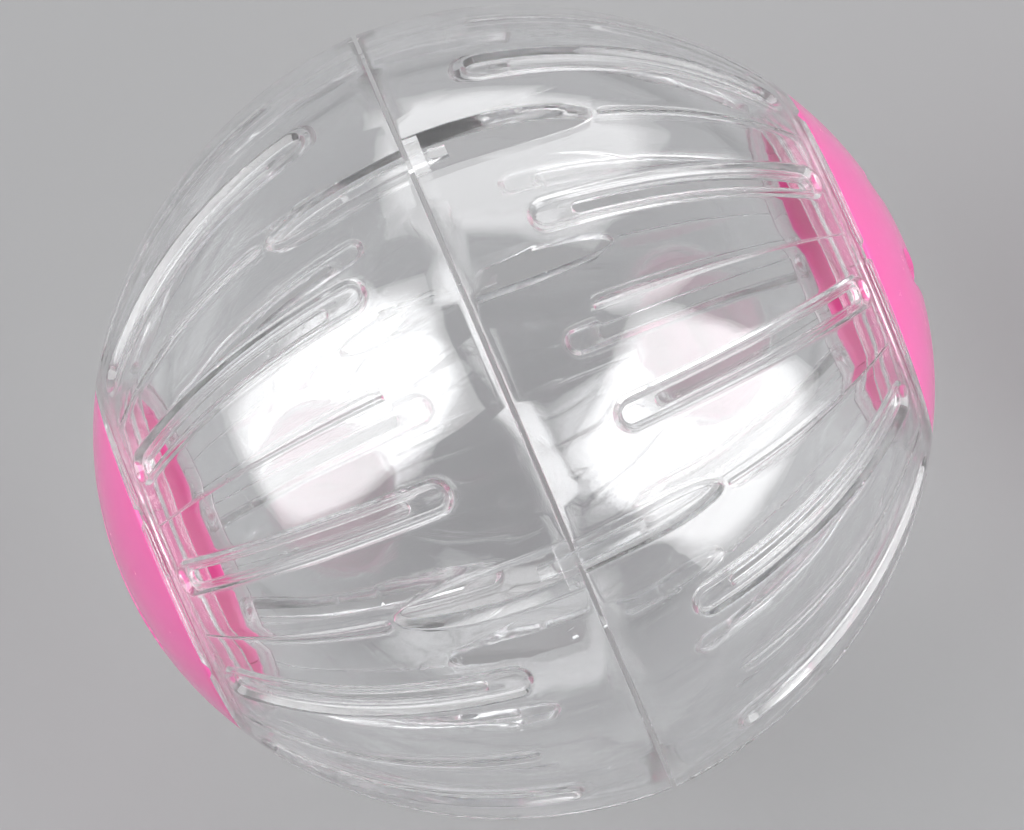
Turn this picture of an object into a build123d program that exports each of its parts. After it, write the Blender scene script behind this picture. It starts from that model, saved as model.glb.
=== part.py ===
import os
from math import atan2, cos, degrees, radians, sin, sqrt

from build123d import *

# Hamster ball: two equal clear half shells snapped together at the seam, and two equal domed doors.
# All sizes are in millimetres. X is the axis through both doors, Z is up, the origin is the ball's centre.
# A half and a door are each drawn once, on their own axis +Z with the seam plane at z = 0, then placed twice.

# Outside form of one half
seam_radius = 70.0  # outside, at the seam
meridian_radius = 77.8  # curve of the outside, from the seam to the door opening
rim_radius = 33.0  # door opening, at its outside edge
rim_height = 63.8  # that edge, from the seam plane
wall = 2.0
seam_gap = 0.8  # between the two halves

# Collar of the door opening
collar_depth = 7.2  # from the rim to the collar's inner end
collar_wall = 1.8
seat_depth = 1.5  # from the rim to the ledge under the door's flange
ledge_width = 3.5  # from the rim in to the collar's bore
ledge_thickness = 1.6
notch_width = 2.0  # fingernail notches in the rim
notch_depth = 0.9
notch_turns = (21.5, -29.5)  # degrees about the axis

# Vent slots, each in a groove with sloped walls
slot_count = 12
groove_start = 14.6  # along the outside, from the seam
groove_rim_gap = 5.2  # along the outside, short of the rim
groove_width = 5.4
groove_floor_width = 3.4
groove_depth = 1.2
groove_boss_margin = 0.8  # boss inside the shell, past the groove's floor on each side
groove_boss_wall = 1.6  # under the groove's floor
slot_start = 21.9
slot_rim_gap = 6.4
slot_width = 2.2

# Thin ribs, midway between the slots
rib_start = 18.3
rib_rim_gap = 5.8
rib_root_width = 0.9
rib_tip_width = 0.3
rib_height = 0.3
rib_root_depth = 0.6  # rooted in the wall
rib_gap = 1.0  # from the tip of a tongue groove or window

# Snap joints: tongues and windows take turns around the seam
tongue_count = 3
tongue_turn = 45.0  # first tongue, degrees about the axis
tongue_width = 2.4
tongue_thickness = 1.1
tongue_root_length = 12.5
tongue_reach = 6.6  # past the seam plane
tongue_clearance = 0.45  # under the bridge, at the seam plane
nib_height = 0.6
nib_length = 2.2
nib_clearance = 0.35
tongue_groove_length = 26.5
tongue_groove_width = 4.4
tongue_groove_floor_width = 3.4
tongue_boss_margin = 0.9
tongue_boss_wall = 1.3
window_length = 31.5
window_width = 8.8  # at the outside
window_opening = 5.0  # at the inside
window_straight_length = 9.0
window_tip_width = 0.7
bridge_length = 2.6
bridge_depth = 0.2  # top of the bridge, below the outside
bridge_thickness = 0.8

# Doors
door_clearance = 0.3  # flange to rim, and skirt to collar
door_seat_clearance = 0.1  # flange to ledge
dome_height = 9.1  # above the rim
door_wall = 1.8
skirt_wall = 1.6
skirt_depth = 4.7  # from the rim
grip_bar_width = 10.0
recess_length = 30.0
recess_width = 6.5
recess_depth = 5.5  # below the top of the dome

# Lugs on the door's skirt, which catch in a groove inside the collar
lug_count = 3
lug_turn = 90.0  # first lug, degrees from the grip bar
lug_width = 10.0
lug_root_depth = 2.0  # from the rim
lug_length = 2.9
lug_side_gap = 0.4
hook_depth = 3.6  # from the rim to the hook's upper edge
hook_overlap = 0.8  # past the collar's bore
hook_clearance = 0.3

# How the pieces stand in the ball, degrees about the door axis from straight up
left_half_turn = 30.0
right_door_turn = -176.5
left_door_turn = 107.9

# Values that follow from the sizes above
meridian = RadiusArc((seam_radius, 0), (rim_radius, rim_height), -meridian_radius, mode=Mode.PRIVATE)
centre_radius = meridian.arc_center.X
centre_height = meridian.arc_center.Y
swing_axis = Axis((centre_radius, 0, centre_height), (0, -1, 0))
seam_angle = atan2(-centre_height, seam_radius - centre_radius)
groove_end = meridian.length - groove_rim_gap
slot_end = meridian.length - slot_rim_gap
rib_end = meridian.length - rib_rim_gap
past_wall = wall / 2  # how far cutters run past a surface
slot_pitch = 360 / slot_count
tongue_pitch = 360 / tongue_count
window_turn = tongue_turn - tongue_pitch / 2
tongue_top_depth = bridge_depth + bridge_thickness + tongue_clearance
tongue_floor_depth = tongue_top_depth + tongue_thickness
collar_bore_radius = rim_radius - ledge_width
seat_height = rim_height - seat_depth
ledge_underside = seat_height - ledge_thickness
collar_end = rim_height - collar_depth
dome_top = rim_height + dome_height
flange_radius = rim_radius - door_clearance
flange_underside = seat_height + door_seat_clearance
skirt_radius = collar_bore_radius - door_clearance
skirt_inner_radius = skirt_radius - skirt_wall
skirt_end = rim_height - skirt_depth
dome_radius = (flange_radius**2 + dome_height**2) / (2 * dome_height)
lug_root = rim_height - lug_root_depth
lug_end = lug_root - lug_length
hook_top = rim_height - hook_depth
hook_radius = collar_bore_radius + hook_overlap
catch_top = hook_top + hook_clearance
catch_end = lug_end - hook_clearance
catch_radius = hook_radius + hook_clearance


# Degrees swung about the curve's centre by a length along the outside
def swing(length):
    return degrees(length / meridian_radius)


# Radius and height of a point on the outside, or a depth under it, at a length from the seam
def spot(length, depth=0.0):
    angle = seam_angle + length / meridian_radius
    reach = meridian_radius - depth
    return centre_radius + reach * cos(angle), centre_height + reach * sin(angle)


# Radius, at a height, of the surface that lies a depth under the outside
def radius_under(depth, height):
    return centre_radius + sqrt((meridian_radius - depth) ** 2 - (height - centre_height) ** 2)


# Plane square to the outside curve: its x runs round the ball and its y points outwards
def square_plane(length):
    angle = seam_angle + length / meridian_radius
    radius, height = spot(length)
    return Plane(origin=(radius, 0, height), x_dir=(0, -1, 0), z_dir=(-sin(angle), 0, cos(angle)))


# Plug with sloped sides and round ends that follows the outside curve
def long_plug(start, end, top_width, top_depth, floor_width, floor_depth):
    half = [(0, -top_depth), (top_width / 2, -top_depth), (floor_width / 2, -floor_depth), (0, -floor_depth)]
    first = start + top_width / 2
    last = end - top_width / 2
    with BuildPart() as plug:
        with BuildSketch(square_plane(first)):
            with BuildLine():
                Polyline(*half, close=True)
            make_face()
            mirror(about=Plane.YZ)
        revolve(axis=swing_axis, revolution_arc=swing(last - first))
        for length in (first, last):
            end_plane = square_plane(length)
            with BuildSketch(end_plane):
                with BuildLine():
                    Polyline(*half, close=True)
                make_face()
            revolve(axis=Axis(end_plane.origin, end_plane.y_dir))
    return plug.part


# Solid with sloped sides whose width changes along the outside curve
def tapered_bar(stations):
    with BuildPart() as bar:
        for length, top_width, top_depth, floor_width, floor_depth in stations:
            with BuildSketch(square_plane(length)):
                with BuildLine():
                    Polyline(
                        (-top_width / 2, -top_depth),
                        (top_width / 2, -top_depth),
                        (floor_width / 2, -floor_depth),
                        (-floor_width / 2, -floor_depth),
                        close=True,
                    )
                make_face()
        loft()
    return bar.part


# Thin rib that narrows and lowers towards the door
def rib(start):
    stations = []
    steps = 4
    for step in range(steps + 1):
        share = step / steps
        width = rib_root_width + (rib_tip_width - rib_root_width) * share
        height = rib_height * width / rib_root_width
        stations.append((start + (rib_end - start) * share, width / 2, -height, width, rib_root_depth))
    return tapered_bar(stations)


# Window with sloped walls, straight at the seam and rounded to a narrow tip
def window():
    slope = (window_width - window_opening) / wall
    taper_length = window_length - window_straight_length
    straight_shares = (-1, -0.5, 0)
    taper_shares = (0.3, 0.55, 0.75, 0.9, 1)
    stations = []
    for share in straight_shares + taper_shares:
        length = window_straight_length + share * (taper_length if share > 0 else window_straight_length)
        spread = sqrt(1 - max(share, 0) ** 2)
        width = window_tip_width + (window_width - window_tip_width) * spread
        opening = width * window_opening / window_width
        past = past_wall * spread
        inside_width = max(opening - slope * past, width / 4)
        stations.append((length, width + slope * past, -past, inside_width, wall + past))
    return tapered_bar(stations)


# Bosses and cutters for one place around the shell
tongue_side_slope = (tongue_groove_width - tongue_groove_floor_width) / tongue_floor_depth
groove_side_slope = (groove_width - groove_floor_width) / groove_depth
boss_top_depth = wall - past_wall / 2
groove_boss = long_plug(
    groove_start - groove_boss_margin,
    groove_end + groove_boss_margin,
    groove_width + 2 * groove_boss_margin,
    boss_top_depth,
    groove_floor_width + 2 * groove_boss_margin,
    groove_depth + groove_boss_wall,
)
groove = long_plug(
    groove_start - groove_side_slope * past_wall / 2,
    groove_end + groove_side_slope * past_wall / 2,
    groove_width + groove_side_slope * past_wall,
    -past_wall,
    groove_floor_width,
    groove_depth,
)
slot = long_plug(slot_start, slot_end, slot_width, 0, slot_width, groove_depth + groove_boss_wall + past_wall)
tongue_boss = long_plug(
    -tongue_groove_width - 2 * tongue_boss_margin,
    tongue_groove_length + tongue_boss_margin,
    tongue_groove_width + 2 * tongue_boss_margin,
    boss_top_depth,
    tongue_groove_floor_width + 2 * tongue_boss_margin,
    tongue_floor_depth + tongue_boss_wall,
)
tongue_groove = long_plug(
    -tongue_groove_width - tongue_side_slope * past_wall,
    tongue_groove_length + tongue_side_slope * past_wall / 2,
    tongue_groove_width + tongue_side_slope * past_wall,
    -past_wall,
    tongue_groove_floor_width,
    tongue_floor_depth,
)
lone_rib = rib(rib_start)
tongue_rib = rib(tongue_groove_length + rib_gap)
window_rib = rib(window_length + rib_gap)

# The window's cutter, less the bridge that stays across its mouth
with BuildPart() as window_cutter:
    add(window())
    with BuildSketch(square_plane(0)):
        with Locations((0, -bridge_depth - bridge_thickness / 2)):
            Rectangle(2 * window_width, bridge_thickness)
    revolve(axis=swing_axis, revolution_arc=swing(bridge_length + seam_gap / 2), mode=Mode.SUBTRACT)

# One half shell: the wall, the collar and ledge of the door opening, and what is moulded into the wall
with BuildPart() as half_shell:
    with BuildSketch(Plane.XZ):
        with BuildLine():
            seam_inside = (radius_under(wall, 0), 0)
            collar_corner = (radius_under(wall, ledge_underside), ledge_underside)
            RadiusArc((seam_radius, 0), (rim_radius, rim_height), -meridian_radius)
            Polyline(
                (rim_radius, rim_height),
                (rim_radius, seat_height),
                (collar_bore_radius, seat_height),
                (collar_bore_radius, catch_top),
                (catch_radius, catch_top),
                (catch_radius, catch_end),
                (collar_bore_radius, catch_end),
                (collar_bore_radius, collar_end),
                (collar_bore_radius + collar_wall, collar_end),
                (collar_bore_radius + collar_wall, ledge_underside),
                collar_corner,
            )
            RadiusArc(collar_corner, seam_inside, meridian_radius - wall)
            Line(seam_inside, (seam_radius, 0))
        make_face()
    revolve(axis=Axis.Z)
    with PolarLocations(0, slot_count):
        add(groove_boss)
    with PolarLocations(0, tongue_count, start_angle=tongue_turn):
        add(tongue_boss)
        add(tongue_rib)
    with PolarLocations(0, tongue_count, start_angle=window_turn):
        add(window_rib)
    with PolarLocations(0, 2 * tongue_count, start_angle=tongue_turn - slot_pitch):
        add(lone_rib)
    with PolarLocations(0, slot_count):
        add(groove, mode=Mode.SUBTRACT)
        add(slot, mode=Mode.SUBTRACT)
    with PolarLocations(0, tongue_count, start_angle=tongue_turn):
        add(tongue_groove, mode=Mode.SUBTRACT)
    with PolarLocations(0, tongue_count, start_angle=window_turn):
        add(window_cutter.part, mode=Mode.SUBTRACT)
    for turn in notch_turns:
        with PolarLocations(rim_radius, 1, start_angle=turn):
            with Locations((0, 0, rim_height)):
                Box(2 * seat_depth, notch_width, 2 * notch_depth, mode=Mode.SUBTRACT)
    split(bisect_by=Plane.XY.offset(seam_gap / 2), keep=Keep.TOP)

# Snap tongue: a root bar in its own groove, a reach across the seam and a nib behind the other half's bridge
with BuildPart() as tongue:
    with BuildSketch(Plane.XZ):
        with BuildLine():
            top_radius = radius_under(tongue_top_depth, 0)
            floor_radius = radius_under(tongue_floor_depth, 0)
            nib_start = -(seam_gap / 2 + bridge_length + nib_clearance)
            root_top = spot(tongue_root_length, tongue_top_depth)
            root_floor = spot(tongue_root_length, tongue_floor_depth)
            RadiusArc((top_radius, 0), root_top, -(meridian_radius - tongue_top_depth))
            Line(root_top, root_floor)
            RadiusArc(root_floor, (floor_radius, 0), meridian_radius - tongue_floor_depth)
            Polyline(
                (floor_radius, 0),
                (floor_radius, -tongue_reach),
                (top_radius, -tongue_reach),
                (top_radius, nib_start - nib_length),
                (top_radius + nib_height, nib_start),
                (top_radius, nib_start),
                (top_radius, 0),
            )
        make_face()
    extrude(amount=tongue_width / 2, both=True)

# Door: dome, flange, skirt and the two finger recesses beside the grip bar
with BuildPart() as door_form:
    with BuildSketch(Plane.XZ):
        with BuildLine():
            TangentArc((0, dome_top), (flange_radius, rim_height), tangent=(1, 0))
            Polyline((flange_radius, rim_height), (0, rim_height), (0, dome_top))
        make_face()
    revolve(axis=Axis.Z)

with BuildPart() as recess_cups:
    with BuildSketch(Plane.XY.offset(dome_top - recess_depth - door_wall)):
        with GridLocations(0, grip_bar_width + recess_width, 1, 2):
            SlotOverall(recess_length + 2 * door_wall, recess_width + 2 * door_wall)
    extrude(amount=recess_depth + door_wall)
    add(door_form.part, mode=Mode.INTERSECT)

with BuildPart() as door:
    with BuildSketch(Plane.XZ):
        with BuildLine():
            dome_centre = dome_top - dome_radius
            dome_inside = dome_centre + sqrt((dome_radius - door_wall) ** 2 - skirt_inner_radius**2)
            TangentArc((0, dome_top), (flange_radius, rim_height), tangent=(1, 0))
            Polyline(
                (flange_radius, rim_height),
                (flange_radius, flange_underside),
                (skirt_radius, flange_underside),
                (skirt_radius, skirt_end),
                (skirt_inner_radius, skirt_end),
                (skirt_inner_radius, dome_inside),
            )
            RadiusArc((skirt_inner_radius, dome_inside), (0, dome_top - door_wall), door_wall - dome_radius)
            Line((0, dome_top - door_wall), (0, dome_top))
        make_face()
    revolve(axis=Axis.Z)
    add(recess_cups.part)
    with BuildSketch(Plane.XY.offset(dome_top - recess_depth)):
        with GridLocations(0, grip_bar_width + recess_width, 1, 2):
            SlotOverall(recess_length, recess_width)
    extrude(amount=2 * recess_depth, mode=Mode.SUBTRACT)
    with PolarLocations(skirt_radius, lug_count, start_angle=lug_turn):
        with Locations((0, 0, lug_root)):
            Box(
                4 * skirt_wall,
                lug_width + 2 * lug_side_gap,
                2 * lug_length,
                align=(Align.CENTER, Align.CENTER, Align.MAX),
                mode=Mode.SUBTRACT,
            )

# Lug: a finger of the skirt with a hook in the collar's groove
with BuildPart() as lug:
    lug_span = degrees(lug_width / skirt_radius)
    with BuildSketch(Plane.XZ):
        with BuildLine():
            Polyline(
                (skirt_inner_radius, lug_root),
                (skirt_radius, lug_root),
                (skirt_radius, hook_top),
                (hook_radius, hook_top),
                (skirt_radius, lug_end),
                (skirt_inner_radius, lug_end),
                close=True,
            )
        make_face()
    revolve(axis=Axis.Z, revolution_arc=lug_span)


# Plane whose z runs out along the door axis, to the left or the right, turned about it from straight up
def door_axis_plane(outwards, turn):
    return Plane(origin=(0, 0, 0), x_dir=(0, -sin(radians(turn)), cos(radians(turn))), z_dir=(outwards, 0, 0))


# Both sides of the ball
os.makedirs("parts", exist_ok=True)
for side, outwards, half_turn, door_turn in (
    ("left", -1, left_half_turn, left_door_turn),
    ("right", 1, 0.0, right_door_turn),
):
    half_plane = door_axis_plane(outwards, half_turn)
    door_plane = door_axis_plane(outwards, door_turn)
    with BuildPart(half_plane) as shell:
        add(half_shell.part, clean=False)
    with BuildPart(half_plane) as snap_tongues:
        with PolarLocations(0, tongue_count, start_angle=tongue_turn):
            add(tongue.part)
    with BuildPart(door_plane) as side_door:
        add(door.part)
    with BuildPart(door_plane) as door_lugs:
        with PolarLocations(0, lug_count, start_angle=lug_turn - lug_span / 2):
            add(lug.part)

    shell.part.label = f"{side}_shell"
    snap_tongues.part.label = f"{side}_snap_tongues"
    side_door.part.label = f"{side}_door"
    door_lugs.part.label = f"{side}_door_lugs"
    export_step(shell.part, f"parts/{side}_shell.step")
    export_step(snap_tongues.part, f"parts/{side}_snap_tongues.step")
    export_step(side_door.part, f"parts/{side}_door.step")
    export_step(door_lugs.part, f"parts/{side}_door_lugs.step")
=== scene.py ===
from math import asin, atan2, cos, hypot, pi, radians, sin, sqrt

import bmesh
import bpy
from mathutils import Matrix, Vector


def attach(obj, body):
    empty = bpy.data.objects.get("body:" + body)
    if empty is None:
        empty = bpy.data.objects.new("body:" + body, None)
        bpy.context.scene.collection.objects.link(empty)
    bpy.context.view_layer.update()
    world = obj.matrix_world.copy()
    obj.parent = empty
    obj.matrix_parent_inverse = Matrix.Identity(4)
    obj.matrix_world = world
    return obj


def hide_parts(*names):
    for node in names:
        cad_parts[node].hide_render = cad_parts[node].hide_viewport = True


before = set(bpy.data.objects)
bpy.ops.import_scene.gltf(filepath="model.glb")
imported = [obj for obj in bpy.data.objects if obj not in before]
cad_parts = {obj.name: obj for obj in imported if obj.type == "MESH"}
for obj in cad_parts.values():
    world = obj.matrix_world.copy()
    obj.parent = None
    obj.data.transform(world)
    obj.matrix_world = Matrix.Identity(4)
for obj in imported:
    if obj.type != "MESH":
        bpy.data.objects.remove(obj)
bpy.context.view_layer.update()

mm = 0.001  # pieces are drawn in millimetres and stored in metres
mergeDistance = 0.002 * mm


def addObject(name, data):
    made = bpy.data.objects.new(name, data)
    bpy.context.scene.collection.objects.link(made)
    return made


def clamped(value):
    return min(max(value, 0), 1)


# A socket that takes part in sums, so shader maths reads as plain expressions
class Term:
    def __init__(self, finish, socket):
        self.finish = finish
        self.socket = socket

    def maths(self, operation, first, second):
        return self.finish.node("ShaderNodeMath", {"operation": operation}, {0: first, 1: second})

    def __add__(self, other):
        return self.maths("ADD", self, other)

    __radd__ = __add__

    def __sub__(self, other):
        return self.maths("SUBTRACT", self, other)

    def __rsub__(self, other):
        return self.maths("SUBTRACT", other, self)

    def __mul__(self, other):
        return self.maths("MULTIPLY", self, other)

    __rmul__ = __mul__


# The nodes of one material, a lamp or the world
class Finish:
    def __init__(self, owner):
        self.owner = owner
        owner.use_nodes = True
        self.tree = owner.node_tree
        self.tree.nodes.clear()

    def node(self, kind, settings=None, inputs=None, output=0):
        made = self.tree.nodes.new(kind)
        for name, value in (settings or {}).items():
            setattr(made, name, value)
        for name, value in (inputs or {}).items():
            if isinstance(value, Term):
                self.tree.links.new(value.socket, made.inputs[name])
            else:
                made.inputs[name].default_value = value
        return Term(self, made.outputs[output]) if made.outputs else None

    def noise(self, place, scale, detail, roughness):
        return self.node("ShaderNodeTexNoise", inputs={
            "Vector": place, "Scale": scale, "Detail": detail, "Roughness": roughness})

    # Goes smoothly from start to 1 while a value goes from low to high
    def ease(self, value, low, high, start=0.0):
        return self.node("ShaderNodeMapRange", {"interpolation_type": "SMOOTHSTEP"},
                         {"Value": value, "From Min": low, "From Max": high, "To Min": start})

    def blended(self, share, first, second):
        colours = {"Factor": share, 6: first, 7: second}
        return self.node("ShaderNodeMix", {"data_type": "RGBA"}, colours, output=2)

    def done(self, surface, output="ShaderNodeOutputMaterial"):
        self.node(output, inputs={"Surface": surface})
        return self.owner


# In both finishes a noise is given by its scale per metre, detail and roughness
clearFinish = {
    "tint": (0.985, 0.99, 0.995, 1.0),
    "refraction": 1.59,  # polystyrene
    "gloss": 0.4,
    "glossRefraction": 1.7,
    "roughness": 0.012,
    "hazeRoughness": 0.04,  # added in the cloudy patches of a handled ball
    "hazeNoise": (38.0, 3.0, 0.6),
    "hazeRange": (0.5, 0.78),
    "scratchRoughness": 0.10,
    "scratchNoise": (420.0, 2.0, 0.5),
    "scratchRange": (0.68, 0.75),  # narrow, so that only hair lines are left
    # turn and stretch of each run of scratches
    "scratchRuns": (((0.3, 0.5, 0.2), (1.0, 0.05, 1.0)), ((1.1, -0.4, 0.7), (0.06, 1.0, 1.0))),
    "edgeRoughness": 0.24,  # moulded edges are a little frosted
    "flowNoise": (55.0, 1.0, 0.4),  # slow waves left by moulding
    "flowHeight": 0.00016,
    "clarity": 0.991,  # the rest is a faint haze, which makes cut edges glow
    "lampLight": 0.88,  # light that a wall lets through to what is behind it
}


def makeClearPlastic():
    c = clearFinish
    f = Finish(bpy.data.materials.new("clearPlastic"))
    place = f.node("ShaderNodeTexCoord", output="Object")
    haze = f.ease(f.noise(place, *c["hazeNoise"]), *c["hazeRange"])
    scratch = 0.0
    for turn, stretch in c["scratchRuns"]:
        lined = f.node("ShaderNodeMapping", inputs={"Vector": place, "Rotation": turn, "Scale": stretch})
        scratch = f.ease(f.noise(lined, *c["scratchNoise"]), *c["scratchRange"]) + scratch
    edge = f.node("ShaderNodeAttribute", {"attribute_name": "edge"}, output="Fac")
    roughness = haze * c["hazeRoughness"] + scratch * c["scratchRoughness"] + edge * c["edgeRoughness"]
    flow = f.noise(place, *c["flowNoise"])
    wavy = f.node("ShaderNodeBump", inputs={"Strength": 1.0, "Distance": c["flowHeight"], "Height": flow})
    glass = f.node("ShaderNodeBsdfPrincipled", inputs={
        "Base Color": c["tint"],
        "Roughness": roughness + c["roughness"],
        "IOR": c["refraction"],
        "Transmission Weight": c["clarity"],
        "Coat Weight": c["gloss"],
        "Coat IOR": c["glossRefraction"],
        "Coat Roughness": c["roughness"],
        "Normal": wavy,
    })
    light = c["lampLight"]
    through = f.node("ShaderNodeBsdfTransparent", inputs={"Color": (light, light, light, 1.0)})
    shadow = f.node("ShaderNodeLightPath", output="Is Shadow Ray")
    return f.done(f.node("ShaderNodeMixShader", inputs={0: shadow, 1: glass, 2: through}))


pinkFinish = {
    "colour": (0.84, 0.125, 0.40, 1.0),
    "paleColour": (0.90, 0.175, 0.48, 1.0),
    "cloudNoise": (45.0, 4.0, 0.55),  # slow drift between the two
    "paintedInsideShade": (0.63, 0.088, 0.29, 1.0),  # painted shade on the underside and skirt, which face into the ball: a deeper pink where less light reaches
    "roughness": 0.16,
    # the underside and skirt are left matt by the mould
    "insideRoughness": 0.16,
    "rubRoughness": 0.12,  # where handling has dulled it
    "rubNoise": (260.0, 5.0, 0.7),
    "rubRange": (0.5, 0.72),
    "grainNoise": (900.0, 2.0, 0.5),
    "grainHeight": 0.00003,
    "grainStrength": 0.35,
    "refraction": 1.5,
    "coat": 0.12,
    "coatRoughness": 0.06,
    "inner": 0.25,  # light that wanders under the surface
    "innerReach": (0.004, 0.0015, 0.0025),
}


def makePinkPlastic():
    p = pinkFinish
    f = Finish(bpy.data.materials.new("pinkPlastic"))
    place = f.node("ShaderNodeTexCoord", output="Object")
    inside = f.node("ShaderNodeAttribute", {"attribute_name": "inside"}, output="Fac")
    colour = f.blended(f.noise(place, *p["cloudNoise"]), p["colour"], p["paleColour"])
    # painted shade: what faces into the ball takes a deeper pink, where less light reaches
    colour = f.blended(inside, colour, p["paintedInsideShade"])
    rub = f.ease(f.noise(place, *p["rubNoise"]), *p["rubRange"])
    grain = f.node("ShaderNodeBump", inputs={
        "Strength": p["grainStrength"], "Distance": p["grainHeight"],
        "Height": f.noise(place, *p["grainNoise"])})
    return f.done(f.node("ShaderNodeBsdfPrincipled", inputs={
        "Base Color": colour,
        "Roughness": rub * p["rubRoughness"] + inside * p["insideRoughness"] + p["roughness"],
        "IOR": p["refraction"],
        "Coat Weight": p["coat"],
        "Coat Roughness": p["coatRoughness"],
        "Subsurface Weight": p["inner"],
        "Subsurface Radius": p["innerReach"],
        "Subsurface Scale": 1.0,
        "Normal": grain,
    }))


clearPlastic = makeClearPlastic()
pinkPlastic = makePinkPlastic()
print("materials made")

# Outside form of one half, about its own axis, with the seam plane at height 0
halfForm = {"seamRadius": 70.0, "rimRadius": 33.0, "rimHeight": 63.8, "curveRadius": 77.8, "wall": 2.0,
            "seamEdge": 0.4, "edgeRound": 0.14, "zoneHalf": radians(7.5)}

chordRadius = halfForm["rimRadius"] - halfForm["seamRadius"]
chordLength = hypot(chordRadius, halfForm["rimHeight"])
chordReach = sqrt(halfForm["curveRadius"] ** 2 - (chordLength / 2) ** 2) / chordLength
curveCentre = (
    (halfForm["seamRadius"] + halfForm["rimRadius"]) / 2 - chordReach * halfForm["rimHeight"],
    halfForm["rimHeight"] / 2 + chordReach * chordRadius,
)
seamTilt = atan2(-curveCentre[1], halfForm["seamRadius"] - curveCentre[0])


# Radius and height at a length from the seam along the outside, and a depth under it
def outside(length, depth=0.0):
    angle = seamTilt + length / halfForm["curveRadius"]
    reach = halfForm["curveRadius"] - depth
    return curveCentre[0] + reach * cos(angle), curveCentre[1] + reach * sin(angle)


# Length from the seam at which the surface a depth under the outside has a height
def lengthAt(height, depth=0.0):
    angle = asin((height - curveCentre[1]) / (halfForm["curveRadius"] - depth))
    return (angle - seamTilt) * halfForm["curveRadius"]


def turned(radius, height, turn):
    return Vector((radius * cos(turn), radius * sin(turn), height))


# Points and faces of one mesh
class Skin:
    def __init__(self):
        self.points = []
        self.faces = []

    def row(self, points):
        first = len(self.points)
        self.points += points
        return list(range(first, len(self.points)))

    def bridge(self, low, high, closed=False):
        count = len(low)
        for i in range(count if closed else count - 1):
            j = (i + 1) % count
            self.faces.append((low[i], low[j], high[j], high[i]))

    def bridgeAll(self, rows, closed=False):
        for low, high in zip(rows, rows[1:]):
            self.bridge(low, high, closed)

    def meshOf(self, name):
        form = bmesh.new()
        spots = [form.verts.new(point * mm) for point in self.points]
        for face in self.faces:
            form.faces.new([spots[i] for i in face])
        bmesh.ops.remove_doubles(form, verts=form.verts, dist=mergeDistance)
        bmesh.ops.recalc_face_normals(form, faces=form.faces)
        mesh = bpy.data.meshes.new(name)
        form.to_mesh(mesh)
        form.free()
        return mesh


# Repeats a drawn piece around its axis
def makeSpinTree():
    tree = bpy.data.node_groups.new("spinRound", "GeometryNodeTree")
    face = tree.interface
    face.new_socket("Geometry", in_out="INPUT", socket_type="NodeSocketGeometry")
    face.new_socket("Count", in_out="INPUT", socket_type="NodeSocketInt")
    face.new_socket("First turn", in_out="INPUT", socket_type="NodeSocketFloat")
    face.new_socket("Merge distance", in_out="INPUT", socket_type="NodeSocketFloat")
    face.new_socket("Material", in_out="INPUT", socket_type="NodeSocketMaterial")
    face.new_socket("Geometry", in_out="OUTPUT", socket_type="NodeSocketGeometry")

    def node(kind, settings=None, **inputs):
        made = tree.nodes.new(kind)
        for name, value in (settings or {}).items():
            setattr(made, name, value)
        for name, value in inputs.items():
            socket = made.inputs[int(name[1:])]
            if isinstance(value, bpy.types.NodeSocket):
                tree.links.new(value, socket)
            else:
                socket.default_value = value
        return made

    given = node("NodeGroupInput").outputs
    index = node("GeometryNodeInputIndex").outputs[0]
    step = node("ShaderNodeMath", {"operation": "DIVIDE"}, i0=2 * pi, i1=given["Count"]).outputs[0]
    turn = node("ShaderNodeMath", {"operation": "MULTIPLY_ADD"}, i0=index, i1=step, i2=given["First turn"])
    rotation = node("ShaderNodeCombineXYZ", i2=turn.outputs[0]).outputs[0]
    points = node("GeometryNodePoints", i0=given["Count"]).outputs[0]
    spread = node("GeometryNodeInstanceOnPoints", i0=points, i2=given["Geometry"], i5=rotation).outputs[0]
    real = node("GeometryNodeRealizeInstances", i0=spread).outputs[0]
    merged = node("GeometryNodeMergeByDistance", i0=real, i2=given["Merge distance"]).outputs[0]
    painted = node("GeometryNodeSetMaterial", i0=merged, i2=given["Material"]).outputs[0]
    node("NodeGroupOutput", i0=painted)
    return tree


spinTree = makeSpinTree()
repeats = 3  # shell, tongues and lugs are each drawn for a third of a turn


# A drawn piece, spun round its axis into a plain mesh
def spun(mesh, count, firstTurn, material):
    source = addObject("drawnPiece", mesh)
    spin = source.modifiers.new("spin", "NODES")
    spin.node_group = spinTree
    values = {"Count": count, "First turn": firstTurn, "Merge distance": mergeDistance, "Material": material}
    for item in spinTree.interface.items_tree:
        if item.in_out == "INPUT" and item.name in values:
            spin[item.identifier] = values[item.name]
    ready = source.evaluated_get(bpy.context.evaluated_depsgraph_get())
    result = bpy.data.meshes.new_from_object(ready)
    source.modifiers.remove(spin)
    bpy.data.objects.remove(source)
    return result


# Where each side's pieces stand: turns of the half and the door about the door axis, from straight up
sides = {
    "left": {"outwards": -1, "halfTurn": 30.0, "doorTurn": 107.9},
    "right": {"outwards": 1, "halfTurn": 0.0, "doorTurn": -176.5},
}


def standing(side, turnName):
    turn = radians(sides[side][turnName])
    along = Vector((0, -sin(turn), cos(turn)))
    out = Vector((sides[side]["outwards"], 0, 0))
    return Matrix((along, out.cross(along), out)).transposed().to_4x4()


def markPoints(mesh, name, marks):
    mesh.attributes.new(name, "FLOAT", "POINT").data.foreach_set("value", marks)


frostedEdge = {"fromBend": radians(8), "overBend": radians(22)}


# Marks the rounded edges of a mesh, for the frosted line that moulding leaves on them
def markEdges(mesh):
    form = bmesh.new()
    form.from_mesh(mesh)
    marks = []
    for point in form.verts:
        bend = max(edge.calc_face_angle(0.0) for edge in point.link_edges)
        marks.append(clamped((bend - frostedEdge["fromBend"]) / frostedEdge["overBend"]))
    form.free()
    markPoints(mesh, "edge", marks)


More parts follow.
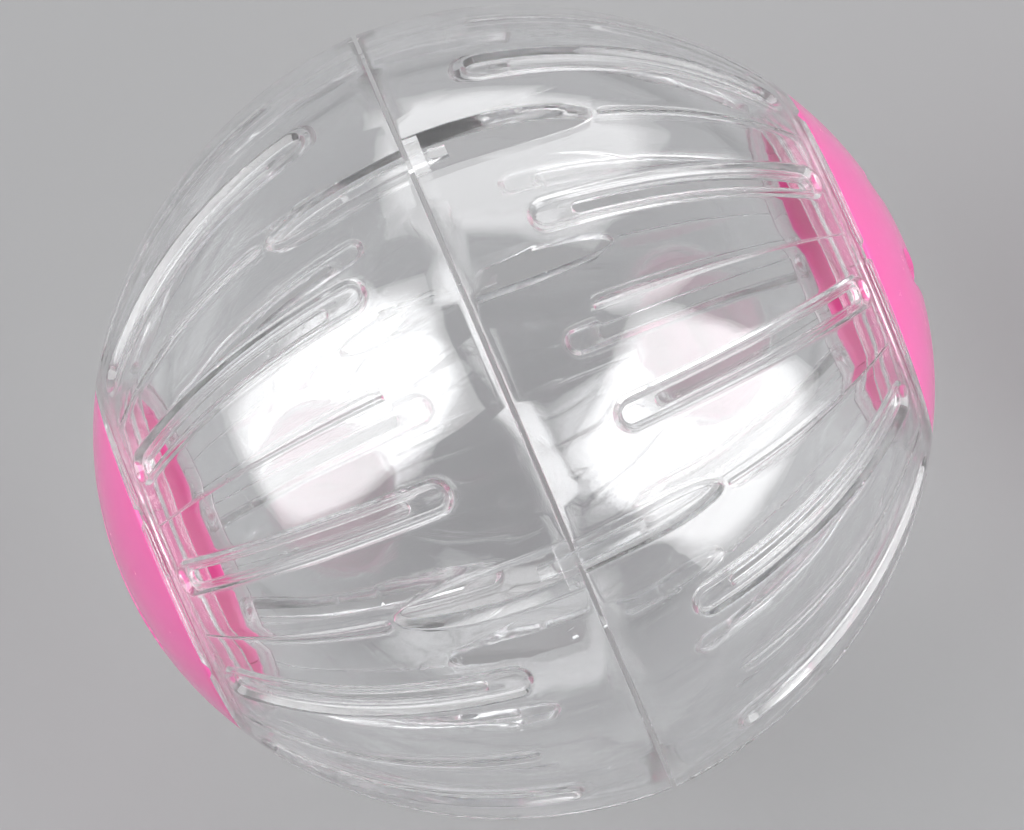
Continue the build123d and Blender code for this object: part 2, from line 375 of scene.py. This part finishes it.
# One finished piece of a side, in its place and riding on its body
def setPiece(name, mesh, side, turnName, body, node, sharpAngle):
    placed = mesh.copy()
    placed.name = name
    placed.transform(standing(side, turnName))
    placed.polygons.foreach_set("use_smooth", [True] * len(placed.polygons))
    placed.set_sharp_from_angle(angle=radians(sharpAngle))
    piece = addObject(name, placed)
    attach(piece, body)
    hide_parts(node)


# Half shell. Every 15 degrees of it is a zone about a vent slot, a lone rib, a tongue's groove or a window.
shellForm = {
    # lengths from the seam at which the outside has a row of points
    "rows": [0.55, 1.6, 3.4, 5.4, 7.4, 9.4, 11.4, 13.4, 15.4, 17.2, 18.1, 18.3, 20.2, 22.2, 24.2, 26.0, 27.3,
             27.5, 29.2, 30.8, 32.2, 32.5] + [34.3 + 2 * i for i in range(18)]
            + [69.8, 70.9, 71.1, 72.4, 74.0, 75.4, 76.6],
    "innerEnd": 60.7,  # height where the inside meets the collar's ledge
    "seamRound": {"middle": 0.03, "share": 0.3},  # half-way point of the seam's rounded corners
    "endCells": 12,
    "tipCells": 14,  # one more than the points of a rib row, which it meets
    "slotTurns": (0.0, 30.0, 60.0, 90.0),
    "ribTurns": (15.0, 75.0),
    "tongueTurn": 45.0,
    "windowTurn": -15.0,
    # slot and groove, from the slot's edge outwards: half width, start, end, depth
    "slotOutside": [
        (1.10, 21.90, 70.40, 1.52), (1.13, 21.87, 70.42, 1.33), (1.24, 21.76, 70.46, 1.20),
        (1.38, 18.60, 70.50, 1.20), (1.52, 15.80, 70.56, 1.20), (1.68, 15.62, 70.66, 1.17),
        (1.80, 15.50, 70.78, 1.05), (2.12, 15.18, 71.08, 0.66), (2.50, 14.80, 71.44, 0.22),
        (2.64, 14.66, 71.58, 0.07), (2.80, 14.50, 71.74, 0.00), (3.15, 14.15, 72.05, 0.00),
    ],
    "slotInside": [
        (1.10, 21.90, 70.40, 2.60), (1.13, 21.87, 70.43, 2.74), (1.24, 21.76, 70.50, 2.80),
        (1.60, 18.40, 70.80, 2.80), (2.34, 14.96, 71.31, 2.80), (2.50, 14.80, 71.47, 2.76),
        (2.62, 14.68, 71.59, 2.63), (3.02, 14.28, 71.99, 2.10), (3.16, 14.14, 72.13, 2.02),
        (3.40, 13.90, 72.40, 2.00),
    ],
    # tongue's groove and window, from the middle outwards: half width, tip, depth
    "grooveStraight": 15.0,
    "grooveOutside": [
        (0.00, 23.50, 2.55), (0.80, 24.90, 2.55), (1.46, 25.70, 2.55), (1.64, 25.92, 2.50),
        (1.75, 26.05, 2.36), (1.95, 26.25, 1.30), (2.12, 26.42, 0.32), (2.20, 26.50, 0.10),
        (2.34, 26.62, 0.01), (2.60, 26.80, 0.00),
    ],
    "grooveSplit": 27.3,
    "grooveInside": [
        (0.00, 24.00, 3.85), (1.40, 25.40, 3.85), (2.38, 26.60, 3.85), (2.56, 26.78, 3.79),
        (2.66, 26.92, 3.62), (2.92, 27.20, 2.14), (3.04, 27.34, 2.02), (3.30, 27.60, 2.00),
    ],
    "grooveInsideSplit": 29.2,
    "windowStraight": 9.0,
    "windowOutside": [
        (2.50, 30.90, 1.90), (2.58, 30.92, 1.76), (3.40, 31.20, 0.98), (4.24, 31.42, 0.16),
        (4.42, 31.52, 0.03), (4.66, 31.64, 0.00), (5.00, 31.80, 0.00),
    ],
    "windowSplit": 32.2,
    "windowInside": [(2.50, 30.90, 1.90), (2.60, 30.98, 2.00), (3.00, 31.20, 2.00)],
    "windowInsideSplit": 32.2,
    "bridge": {"end": 3.0, "top": 0.2, "floor": 1.0, "chamfer": 0.09,
               "halfWidth": 4.46, "taper": 0.95, "cells": 10},
    # ribs: root width at the start and at the end, height at the start, and a section in shares of both
    "rib": {"width": (0.9, 0.3), "height": 0.3, "end": 71.0, "slack": 0.001, "foot": 0.14, "footCells": 3,
            "section": ((0.5, 0.12), (0.26, 0.9), (0.0, 1.0))},
    "ribStarts": {"lone": 18.3, "tongue": 27.5, "window": 32.5},
    # collar of the door opening, from the rim to the ledge's underside: radius, height
    "collar": [
        (33.06, 63.73), (33.00, 63.58), (33.00, 63.0), (33.00, 62.46), (32.95, 62.35), (32.84, 62.30),
        (31.2, 62.30), (29.78, 62.30), (29.58, 62.23), (29.50, 62.02), (29.50, 61.3), (29.50, 60.62),
        (29.60, 60.50), (30.45, 60.50), (30.56, 60.46), (30.60, 60.35), (30.60, 59.5), (30.60, 58.75),
        (30.56, 58.64), (30.45, 58.60), (29.60, 58.60), (29.50, 58.48), (29.50, 57.6), (29.50, 56.82),
        (29.57, 56.66), (29.74, 56.60), (31.06, 56.60), (31.23, 56.66), (31.30, 56.82), (31.30, 58.6),
        (31.30, 60.32), (31.42, 60.58), (31.70, 60.70),
    ],
    "notches": ((21.5, 2.0, 0.9), (-29.5, 2.0, 0.9)),  # in the rim: turn, width, depth
    "notchFloor": 62.4,
    "notchReach": 34.2,
    "notchEase": (0.2, 0.5),  # how far in from its side a notch slopes, and over what width
    "sharpBend": 42,
}


# Turn of a point that stands aside of a zone's middle
def aside(across, length, depth):
    return asin(across / outside(length, depth)[0])


def mixed(first, second, share):
    return [tuple(a + (b - a) * share for a, b in zip(one, other)) for one, other in zip(first, second)]


def sharesOf(rows):
    return [(row - rows[0]) / (rows[-1] - rows[0]) for row in rows]


def halfRound(cells):
    return [(cos(pi * k / cells), sin(pi * k / cells)) for k in range(1, cells)]


# Racetrack around a vent slot: up the right side, round the end, down the left side, round the start
def slotRing(rows, halfWidth, start, end, depth):
    low, high = start + halfWidth, end - halfWidth
    lengths = [low + share * (high - low) for share in sharesOf(rows)]
    bend = halfRound(shellForm["endCells"])
    track = [(halfWidth, length) for length in lengths]
    track += [(halfWidth * across, high + halfWidth * along) for across, along in bend]
    track += [(-halfWidth, length) for length in reversed(lengths)]
    track += [(-halfWidth * across, low - halfWidth * along) for across, along in bend]
    return [(aside(across, length, depth), length, depth) for across, length in track]


# Edge of a whole zone, in the same order
def zoneRing(rows, depth):
    half, cells = halfForm["zoneHalf"], shellForm["endCells"]
    ring = [(half, row, depth) for row in rows]
    ring += [(half - 2 * half * k / cells, rows[-1], depth) for k in range(1, cells)]
    ring += [(-half, row, depth) for row in reversed(rows)]
    ring += [(-half + 2 * half * k / cells, rows[0], depth) for k in range(1, cells)]
    return ring


# U around a tongue's groove or a window: up the right side from the seam, round the tip, down the left side
def mouthRing(rows, straight, halfWidth, tip, depth):
    lengths = [rows[0] + share * (straight - rows[0]) for share in sharesOf(rows)]
    track = [(halfWidth, length) for length in lengths]
    track += [(halfWidth * across, straight + (tip - straight) * along)
              for across, along in halfRound(shellForm["tipCells"])]
    track += [(-halfWidth, length) for length in reversed(lengths)]
    return [(aside(across, length, depth), length, depth) for across, length in track]


# One row across a zone with a rib down its middle, from left to right
def ribRow(length, depth, ribStart=None):
    rib = shellForm["rib"]
    wide, narrow = rib["width"]
    share = 0.0 if ribStart is None else (length - ribStart) / (rib["end"] - ribStart)
    width = wide + (narrow - wide) * clamped(share)
    standsUp = ribStart is not None and -rib["slack"] < share < 1 + rib["slack"]
    height = rib["height"] * width / wide if standsUp else 0.0
    half, cells = halfForm["zoneHalf"], rib["footCells"]
    foot = aside(width / 2 + rib["foot"], length, depth)
    row = [(half + (foot - half) * k / cells, length, depth) for k in range(cells + 1)]
    for across, rise in rib["section"]:
        row.append((aside(width * across, length, depth), length, depth - height * rise))
    left = [(-turn, length, d) for turn, length, d in row]
    return left + list(reversed(row[:-1]))


# Turns and depth along such a row, for what closes it at the seam or the rim
def rowEdge(length, depth, ribStart):
    return [(turn, depth) for turn, _, _ in ribRow(length, depth, ribStart)]


# Edge of the part of a zone below its split row, in the order of mouthRing
def mouthZoneRing(rows, depth, topRow):
    half = halfForm["zoneHalf"]
    ring = [(half, row, depth) for row in rows[:-1]]
    ring += list(reversed(topRow))
    ring += [(-half, row, depth) for row in reversed(rows[:-1])]
    return ring


blendShares = (0.2, 0.45, 0.72)


class HalfShell:
    def __init__(self):
        self.skin = Skin()
        self.wall = halfForm["wall"]
        self.rows = shellForm["rows"]
        kept = shellForm["windowSplit"]  # the inside's rows are drawn in past here, to end at the collar
        drawnIn = (lengthAt(shellForm["innerEnd"], self.wall) - kept) / (self.rows[-1] - kept)
        self.innerRows = [row if row < kept else kept + (row - kept) * drawnIn for row in self.rows]

    def lay(self, spots, centre):
        return self.skin.row([turned(*outside(length, depth), centre + turn)
                              for turn, length, depth in spots])

    def layRings(self, rings, centre, closed):
        laid = [self.lay(ring, centre) for ring in rings]
        self.skin.bridgeAll(laid, closed)
        return laid

    # The edge at the seam: both corners rounded off, down to nothing where they meet, and the face between
    def closeSeam(self, centre, outer, inner, meet=False):
        seam, away, bend = halfForm["seamEdge"], halfForm["edgeRound"], shellForm["seamRound"]
        middle = (self.rows[0] + seam) / 2 - bend["middle"]
        faceEdges = []
        for edge, sign in ((outer, 1), (inner, -1)):
            drops = [0.0 if meet and i == 0 else sign * away for i in range(len(edge))]
            rounded = []
            for length, share in ((self.rows[0], 0.0), (middle, bend["share"]), (seam, 1.0)):
                rounded.append(self.lay([(turn, length, depth + drop * share)
                                         for (turn, depth), drop in zip(edge, drops)], centre))
            self.skin.bridgeAll(rounded)
            faceEdges.append(rounded[-1])
        self.skin.faces.append(tuple(faceEdges[0] + list(reversed(faceEdges[1]))))

    # The door opening's rim, seat and collar over one zone
    def closeRim(self, centre, outer, inner):
        rings = [self.lay([(turn, self.rows[-1], depth) for turn, depth in outer], centre)]
        for radius, height in shellForm["collar"]:
            rings.append(self.skin.row([turned(radius, height, centre + turn) for turn, depth in outer]))
        rings.append(self.lay([(turn, self.innerRows[-1], depth) for turn, depth in inner], centre))
        self.skin.bridgeAll(rings)

    def slotZone(self, centre):
        edges, ends = [], []
        faces = (self.rows, "slotOutside", 0.0), (self.innerRows, "slotInside", self.wall)
        for rows, table, depth in faces:
            rings = [slotRing(rows, *ring) for ring in shellForm[table]]
            zone = zoneRing(rows, depth)
            rings += [mixed(rings[-1], zone, share) for share in blendShares] + [zone]
            ends.append(self.layRings(rings, centre, True)[0])
            half, cells = halfForm["zoneHalf"], shellForm["endCells"]
            edges.append([(-half + 2 * half * k / cells, depth) for k in range(cells + 1)])
        self.skin.bridge(*ends, closed=True)
        self.closeSeam(centre, *edges)
        self.closeRim(centre, *edges)

    def ribZone(self, centre):
        faces = (self.rows, 0.0, shellForm["ribStarts"]["lone"]), (self.innerRows, self.wall, None)
        for rows, depth, start in faces:
            self.layRings([ribRow(row, depth, start) for row in rows], centre, False)
        self.closeSeam(centre, *(rowEdge(rows[0], depth, start) for rows, depth, start in faces))
        self.closeRim(centre, *(rowEdge(rows[-1], depth, start) for rows, depth, start in faces))

    # A zone that is open at the seam: a tongue's groove or a window, with a rib above it
    def mouthZone(self, centre, kind):
        seamEdges, rimEdges = [], []
        straight = shellForm[kind + "Straight"]
        ribStart = shellForm["ribStarts"]["tongue" if kind == "groove" else "window"]
        for rows, place, depth in ((self.rows, "Outside", 0.0), (self.innerRows, "Inside", self.wall)):
            outer = place == "Outside"
            split = shellForm["rows"].index(shellForm[kind + ("Split" if outer else "InsideSplit")])
            lowRows = rows[:split + 1]
            start = ribStart if outer else None
            rings = [mouthRing(lowRows[:-1], straight, *ring) for ring in shellForm[kind + place]]
            zone = mouthZoneRing(lowRows, depth, ribRow(rows[split], depth, start))
            rings += [mixed(rings[-1], zone, share) for share in blendShares] + [zone]
            self.layRings(rings, centre, False)
            self.layRings([ribRow(row, depth, start) for row in rows[split:]], centre, False)
            seamEdges.append([(ring[0][0], ring[0][2]) for ring in rings])
            rimEdges.append(rowEdge(rows[-1], depth, start))
        left = [[(-turn, depth) for turn, depth in edge] for edge in seamEdges]
        if kind == "groove":
            self.closeSeam(centre, *(list(reversed(one)) + other[1:] for one, other in zip(left, seamEdges)))
        else:
            self.closeSeam(centre, *seamEdges, meet=True)
            self.closeSeam(centre, *left, meet=True)
        self.closeRim(centre, *rimEdges)

    # Bar across a window's mouth, sunk a hair into the window's walls
    def bridgeBar(self, centre):
        bar = shellForm["bridge"]
        c = bar["chamfer"]
        low, high, top, floor = halfForm["seamEdge"], bar["end"], bar["top"], bar["floor"]
        section = [(low, top + c), (low + c, top), (high - c, top), (high, top + c),
                   (high, floor - c), (high - c, floor), (low + c, floor), (low, floor - c)]
        rings = []
        for k in range(bar["cells"] + 1):
            share = 2 * k / bar["cells"] - 1
            rings.append([
                (aside(share * (bar["halfWidth"] - bar["taper"] * depth), length, depth), length, depth)
                for length, depth in section])
        laid = self.layRings(rings, centre, True)
        self.skin.faces += [tuple(reversed(laid[0])), tuple(laid[-1])]

    def build(self):
        for turn in shellForm["slotTurns"]:
            self.slotZone(radians(turn))
        for turn in shellForm["ribTurns"]:
            self.ribZone(radians(turn))
        self.mouthZone(radians(shellForm["tongueTurn"]), "groove")
        self.mouthZone(radians(shellForm["windowTurn"]), "window")
        self.bridgeBar(radians(shellForm["windowTurn"]))
        return self.skin.meshOf("shellThird")


# Fingernail notches, pressed into the finished rim
def pressNotches(mesh):
    floor, (inset, ease) = shellForm["notchFloor"], shellForm["notchEase"]
    for turn, width, depth in shellForm["notches"]:
        along = Vector((cos(radians(turn)), sin(radians(turn)), 0))
        across = Vector((-along.y, along.x, 0))
        for point in mesh.vertices:
            spot = point.co / mm
            if spot.z > floor and spot.dot(along) > 0 and spot.xy.length < shellForm["notchReach"]:
                inside = 1 - clamped((abs(spot.dot(across)) - width / 2 + inset) / ease)
                lowered = (spot.z - floor) / (halfForm["rimHeight"] - floor) * depth * inside
                point.co.z -= lowered * mm


shellMesh = spun(HalfShell().build(), repeats, 0.0, clearPlastic)
pressNotches(shellMesh)
markEdges(shellMesh)
print("half shell drawn:", len(shellMesh.polygons), "faces")

for side in sides:
    setPiece(side + "ClearShell", shellMesh, side, "halfTurn", side + "_half",
             side + "_shell", shellForm["sharpBend"])

# Snap tongue: a bar in its groove, a reach across the seam and a nib behind the other half's bridge
tongueForm = {"turn": 45.0, "width": 2.4, "top": 1.50, "floor": 2.50, "root": 12.4, "reach": 6.5,
              "nibStart": 3.4, "nibLength": 2.1, "nibHeight": 0.55, "nibFlat": 0.25, "cells": 8,
              "bevel": 0.14, "bevelCells": 2, "bevelProfile": 0.6, "bevelBend": 20, "sharpBend": 50}


def tongueOutline():
    t = tongueForm
    lengths = [t["root"] * k / t["cells"] for k in range(t["cells"] + 1)]
    outline = [outside(length, t["top"]) for length in lengths]
    outline += [outside(length, t["floor"]) for length in reversed(lengths)]
    topRadius, floorRadius = outside(0, t["top"])[0], outside(0, t["floor"])[0]
    nibRadius = topRadius + t["nibHeight"]
    outline += [(floorRadius, -t["reach"]), (topRadius, -t["reach"]),
                (topRadius, -t["nibStart"] - t["nibLength"]), (nibRadius, -t["nibStart"] - t["nibFlat"]),
                (nibRadius, -t["nibStart"]), (topRadius, -t["nibStart"])]
    return outline


# The outline drawn out to both sides and bevelled
def tongueBar():
    t = tongueForm
    outline = tongueOutline()
    form = bmesh.new()
    faces = []
    for across in (-t["width"] / 2, t["width"] / 2):
        faces.append([form.verts.new(Vector((radius, across, height)) * mm) for radius, height in outline])
    form.faces.new(faces[0])
    form.faces.new(list(reversed(faces[1])))
    for i in range(len(outline)):
        j = (i + 1) % len(outline)
        form.faces.new((faces[0][j], faces[0][i], faces[1][i], faces[1][j]))
    bmesh.ops.recalc_face_normals(form, faces=form.faces)
    sharp = [edge for edge in form.edges if edge.calc_face_angle() > radians(t["bevelBend"])]
    bmesh.ops.bevel(form, geom=sharp, offset=t["bevel"] * mm, segments=t["bevelCells"], affect="EDGES",
                    profile=t["bevelProfile"])
    mesh = bpy.data.meshes.new("tongue")
    form.to_mesh(mesh)
    form.free()
    return mesh


tongueMesh = spun(tongueBar(), repeats, radians(tongueForm["turn"]), clearPlastic)
markEdges(tongueMesh)
for side in sides:
    setPiece(side + "ClearTongues", tongueMesh, side, "halfTurn", side + "_half",
             side + "_snap_tongues", tongueForm["sharpBend"])
print("snap tongues set")

# Door: dome with two finger recesses beside a grip bar, flange, and a skirt with gaps for its lugs
doorForm = {
    "spokes": 240,
    "domeTop": 72.9, "domeRadius": 63.3, "domeEnd": 32.3, "wall": 1.8,
    "skirtRadius": 29.2, "skirtInner": 27.6, "skirtRound": 0.16,
    "barWidth": 10.0, "recessLength": 30.0, "recessWidth": 6.5, "recessFloor": 67.4, "recessSlope": 1.1,
    "lugTurns": (90.0, 210.0, 330.0), "lugGapHalf": 5.4,
    # rings of points: radii on the dome and under it, then radius and height on the flange and the skirt
    "topRadii": [0.4 + 0.4 * k for k in range(54)] + [23 + 1.2 * k for k in range(8)],
    "underRadii": [27.59, 27.0] + [26.2 - 0.9 * k for k in range(6)] + [21.2 - 0.45 * k for k in range(46)],
    "flange": [(32.55, 63.82), (32.68, 63.66), (32.7, 63.45), (32.7, 62.62), (32.66, 62.48), (32.54, 62.4),
               (29.45, 62.4), (29.28, 62.36), (29.2, 62.25), (29.2, 62.1)],
    "innerCorner": [(27.6, 62.1), (27.6, 63.6)],
    "skirtLevels": (62.1, 61.8, 60.5, 59.3, 59.1),
    "insideBelow": 62.3,  # all of the skirt
    "insideFacing": -0.05,  # a normal that points further down than this is on the inside
    "sharpBend": 40,
}


def domeHeight(radius, sunk):
    reach = doorForm["domeRadius"] - sunk
    return doorForm["domeTop"] - doorForm["domeRadius"] + sqrt(reach ** 2 - radius ** 2)


# How far a point is inside the finger recesses: 0 on the dome, 1 on a recess floor
def recessShare(x, y, grow):
    d = doorForm
    half = d["recessWidth"] / 2
    offset = abs(y) - (d["barWidth"] + d["recessWidth"]) / 2
    along = max(abs(x) - (d["recessLength"] / 2 - half), 0)
    share = clamped((half + grow - hypot(along, offset)) / d["recessSlope"])
    return share * share * (3 - 2 * share)


def topHeight(x, y):
    dome = domeHeight(hypot(x, y), 0)
    return dome + (min(doorForm["recessFloor"], dome) - dome) * recessShare(x, y, 0)


def underHeight(x, y):
    dome = domeHeight(hypot(x, y), doorForm["wall"])
    floor = doorForm["recessFloor"] - doorForm["wall"]
    grow = doorForm["wall"] + doorForm["recessSlope"] / 2
    return dome + (min(floor, dome) - dome) * recessShare(x, y, grow)


class Door:
    def __init__(self):
        self.skin = Skin()
        self.turns = [2 * pi * k / doorForm["spokes"] for k in range(doorForm["spokes"])]

    def ring(self, radius, height):
        return self.skin.row([turned(radius, height, turn) for turn in self.turns])

    def shaped(self, radius, heightOf):
        spots = [(radius * cos(turn), radius * sin(turn)) for turn in self.turns]
        return self.skin.row([Vector((x, y, heightOf(x, y))) for x, y in spots])

    def inLugGap(self, index):
        turn = self.turns[index % len(self.turns)] + pi / len(self.turns)
        for lug in doorForm["lugTurns"]:
            away = (turn - radians(lug) + pi) % (2 * pi) - pi
            if abs(away) * doorForm["skirtRadius"] < doorForm["lugGapHalf"]:
                return True
        return False

    def build(self):
        d = doorForm
        top = [self.shaped(radius, topHeight) for radius in d["topRadii"]]
        flange = [(d["domeEnd"], domeHeight(d["domeEnd"], 0))] + d["flange"]
        outer = top + [self.ring(*spot) for spot in flange]
        inner = [self.ring(*spot) for spot in d["innerCorner"]]
        inner += [self.shaped(radius, underHeight) for radius in d["underRadii"]]
        self.skin.bridgeAll(outer, True)
        self.skin.bridgeAll(inner, True)
        for ring in (outer[0], inner[-1]):
            self.skin.faces.append(tuple(ring))
        self.skirt(outer[-1], inner[0])
        return self.skin.meshOf("door")

    # The skirt below the dome, cut through where the lugs are
    def skirt(self, outerTop, innerTop):
        d = doorForm
        levels = d["skirtLevels"]
        outer, inner = [outerTop], [innerTop]
        for level in levels[1:]:
            pull = d["skirtRound"] if level == levels[-1] else 0.0
            outer.append(self.ring(d["skirtRadius"] - pull, level))
            inner.append(self.ring(d["skirtInner"] + pull, level))
        count = len(self.turns)
        for i in range(count):
            j = (i + 1) % count
            gap = self.inLugGap(i)
            rows = 1 if gap else len(levels) - 1
            for k in range(rows):
                self.skin.faces.append((outer[k][i], outer[k][j], outer[k + 1][j], outer[k + 1][i]))
                self.skin.faces.append((inner[k][j], inner[k][i], inner[k + 1][i], inner[k + 1][j]))
            self.skin.faces.append((outer[rows][i], outer[rows][j], inner[rows][j], inner[rows][i]))
            if gap != self.inLugGap(j):
                for k in range(1, len(levels) - 1):
                    self.skin.faces.append((outer[k][j], inner[k][j], inner[k + 1][j], outer[k + 1][j]))


# Marks what faces into the ball on a door or its lugs, before it is placed; the pink gets painted shade and a
# matt finish there
def markInside(mesh):
    below, facing = doorForm["insideBelow"] * mm, doorForm["insideFacing"]
    markPoints(mesh, "inside", [float(spot.co.z < below or spot.normal.z < facing) for spot in mesh.vertices])


doorMesh = Door().build()
doorMesh.materials.append(pinkPlastic)
markInside(doorMesh)
print("door drawn:", len(doorMesh.polygons), "faces")

# Lug: a finger of the skirt with a hook in the collar's groove
lugForm = {
    "width": 10.0, "radius": 29.2, "cells": 12,
    "endRound": 0.006, "endShare": 0.93,  # each end's last turn, and how far the section is drawn in there
    # section, from the inside of the root round the hook: radius, height
    "section": [(27.62, 61.59), (27.78, 61.75), (29.04, 61.75), (29.2, 61.59), (29.2, 60.25), (29.25, 60.2),
                (30.14, 60.2), (30.3, 60.04), (30.2, 59.85), (29.2, 59.0), (29.08, 58.9), (27.78, 58.9),
                (27.62, 59.06)],
    "sharpBend": 40,
}


def drawLug():
    g = lugForm
    skin = Skin()
    section = g["section"]
    middleRadius = sum(radius for radius, _ in section) / len(section)
    middleHeight = sum(height for _, height in section) / len(section)
    reach = g["width"] / g["radius"] / 2
    last = reach - g["endRound"]
    cuts = [(-reach, g["endShare"])]
    cuts += [(last * (2 * k / g["cells"] - 1), 1.0) for k in range(g["cells"] + 1)]
    cuts += [(reach, g["endShare"])]
    rings = []
    for turn, share in cuts:
        rings.append(skin.row([turned(middleRadius + (radius - middleRadius) * share,
                                      middleHeight + (height - middleHeight) * share, turn)
                               for radius, height in section]))
    skin.bridgeAll(rings, True)
    skin.faces += [tuple(reversed(rings[0])), tuple(rings[-1])]
    return skin.meshOf("lug")


lugsMesh = spun(drawLug(), repeats, radians(doorForm["lugTurns"][0]), pinkPlastic)
markInside(lugsMesh)
for side in sides:
    setPiece(side + "PinkDoor", doorMesh, side, "doorTurn", side + "_door",
             side + "_door", doorForm["sharpBend"])
    setPiece(side + "PinkLugs", lugsMesh, side, "doorTurn", side + "_door",
             side + "_door_lugs", lugForm["sharpBend"])
print("doors and lugs set")

# Camera and studio
studio = {
    "elevation": 66.5,
    "roll": 23.17,  # the door axis runs up to the right
    "distance": 0.70,
    "lens": 143.0,
    "sensor": 36.0,
    "shift": (-2.0 / 1024, -3.5 / 1024),
    "nearClip": 0.05,
    "floorHeight": -0.07,
    "floorReach": 3.0,
    "floorColour": (0.34, 0.34, 0.345, 1.0),
    "floorRoughness": 0.6,
    "floorGloss": 0.2,
    "horizon": (0.40, 0.40, 0.41, 1.0),
    "overhead": (0.15, 0.15, 0.155, 1.0),
    "horizonFade": (0.05, 0.6),  # heights between which the first turns into the second
    "bounces": 64,  # light runs far inside clear walls
    "clearLayers": 32,
    "softEdge": 0.32,  # how far a softbox's glow fades towards its edges
    "edgeGlow": 0.3,  # what is left of it there
    # softboxes: degrees to the right of the camera and above it, distance, width, height, power
    "softboxes": {
        "leftSoftbox": (-47.0, 2.0, 1.0, 0.84, 1.20, 10.5),
        "rightSoftbox": (51.0, -4.0, 1.0, 0.97, 1.10, 12.0),
        "topSoftbox": (-10.0, 74.0, 1.0, 1.10, 0.94, 6.8),
    },
}

tilt, roll = radians(studio["elevation"]), radians(studio["roll"])
towards = Vector((0, -cos(tilt), sin(tilt)))
level = Vector((1, 0, 0))
upwards = Vector((0, sin(tilt), cos(tilt)))
cameraRight = cos(roll) * level - sin(roll) * upwards
cameraUp = sin(roll) * level + cos(roll) * upwards


def addCamera():
    lens = bpy.data.cameras.new("photoCamera")
    lens.lens = studio["lens"]
    lens.sensor_width = studio["sensor"]
    lens.shift_x, lens.shift_y = studio["shift"]
    lens.clip_start = studio["nearClip"]
    camera = addObject("photoCamera", lens)
    place = Matrix((cameraRight, cameraUp, towards)).transposed().to_4x4()
    place.translation = towards * studio["distance"]
    camera.matrix_world = place
    bpy.context.scene.camera = camera


def addSoftboxes():
    for name, (right, above, distance, width, height, power) in studio["softboxes"].items():
        right, above = radians(right), radians(above)
        direction = cos(above) * (cos(right) * towards + sin(right) * cameraRight) + sin(above) * cameraUp
        lamp = bpy.data.lights.new(name, "AREA")
        lamp.shape = "RECTANGLE"
        lamp.size, lamp.size_y = width, height
        lamp.energy = power
        f = Finish(lamp)
        spot = f.node("ShaderNodeNewGeometry", output="Parametric")
        across = f.node("ShaderNodeSeparateXYZ", inputs={"Vector": spot}, output="X")
        along = f.node("ShaderNodeSeparateXYZ", inputs={"Vector": spot}, output="Y")
        middle = across * (1 - across) * along * (1 - along)  # 1/16 in the middle, 0 at the edges
        glow = f.ease(middle, 0.0, studio["softEdge"] / 16, studio["edgeGlow"])
        f.done(f.node("ShaderNodeEmission", inputs={"Strength": glow}), "ShaderNodeOutputLight")
        box = addObject(name, lamp)
        box.location = direction * distance
        box.rotation_euler = direction.to_track_quat("Z", "Y").to_euler()


def addFloor():
    form = bmesh.new()
    bmesh.ops.create_grid(form, x_segments=4, y_segments=4, size=studio["floorReach"])
    mesh = bpy.data.meshes.new("studioFloor")
    form.to_mesh(mesh)
    form.free()
    floor = addObject("studioFloor", mesh)
    floor.location.z = studio["floorHeight"]
    f = Finish(bpy.data.materials.new("paleFloor"))
    mesh.materials.append(f.done(f.node("ShaderNodeBsdfPrincipled", inputs={
        "Base Color": studio["floorColour"], "Roughness": studio["floorRoughness"],
        "Specular IOR Level": studio["floorGloss"]})))


def addWorld():
    f = Finish(bpy.data.worlds.new("studioWorld"))
    direction = f.node("ShaderNodeTexCoord", output="Generated")
    height = f.node("ShaderNodeSeparateXYZ", inputs={"Vector": direction}, output="Z")
    colour = f.blended(f.ease(height, *studio["horizonFade"]), studio["horizon"], studio["overhead"])
    background = f.node("ShaderNodeBackground", inputs={"Color": colour})
    bpy.context.scene.world = f.done(background, "ShaderNodeOutputWorld")


addCamera()
addSoftboxes()
addFloor()
addWorld()
bpy.context.scene.view_settings.view_transform = "Standard"
tracing = bpy.context.scene.cycles
tracing.max_bounces = tracing.transmission_bounces = tracing.glossy_bounces = studio["bounces"]
tracing.transparent_max_bounces = studio["clearLayers"]
print("studio set")
